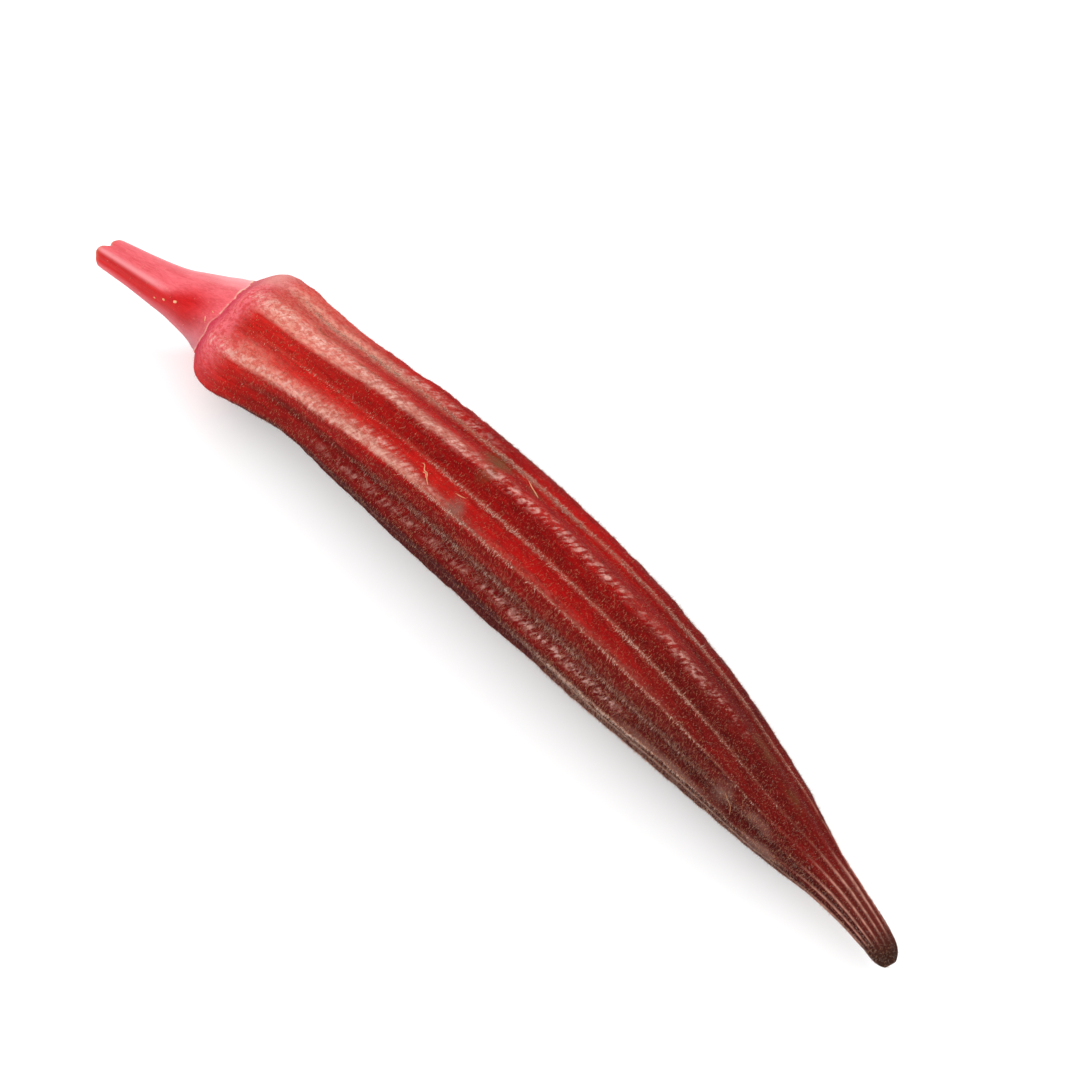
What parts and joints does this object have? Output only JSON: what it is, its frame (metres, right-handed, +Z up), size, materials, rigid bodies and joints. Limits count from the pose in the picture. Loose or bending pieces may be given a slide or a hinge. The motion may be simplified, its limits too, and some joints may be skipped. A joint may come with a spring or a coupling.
{
  "type": "okra pod",
  "caption": "Ribbed red okra pod lying on its side, with a cut stalk, a flared cap and a long taper to a blunt tip.",
  "frame": {"origin": "middle of the pod's bounding box, on the surface it lies on", "axes": "+X runs along the pod from the cut stalk to the tip, +Z is up"},
  "size_m": [0.1566, 0.0238, 0.0212],
  "materials": {
    "pod_skin": "satin, finely downy"
  },
  "bodies": {
    "root": {"okra_pod": "pod_skin"}
  },
  "joints": []
}
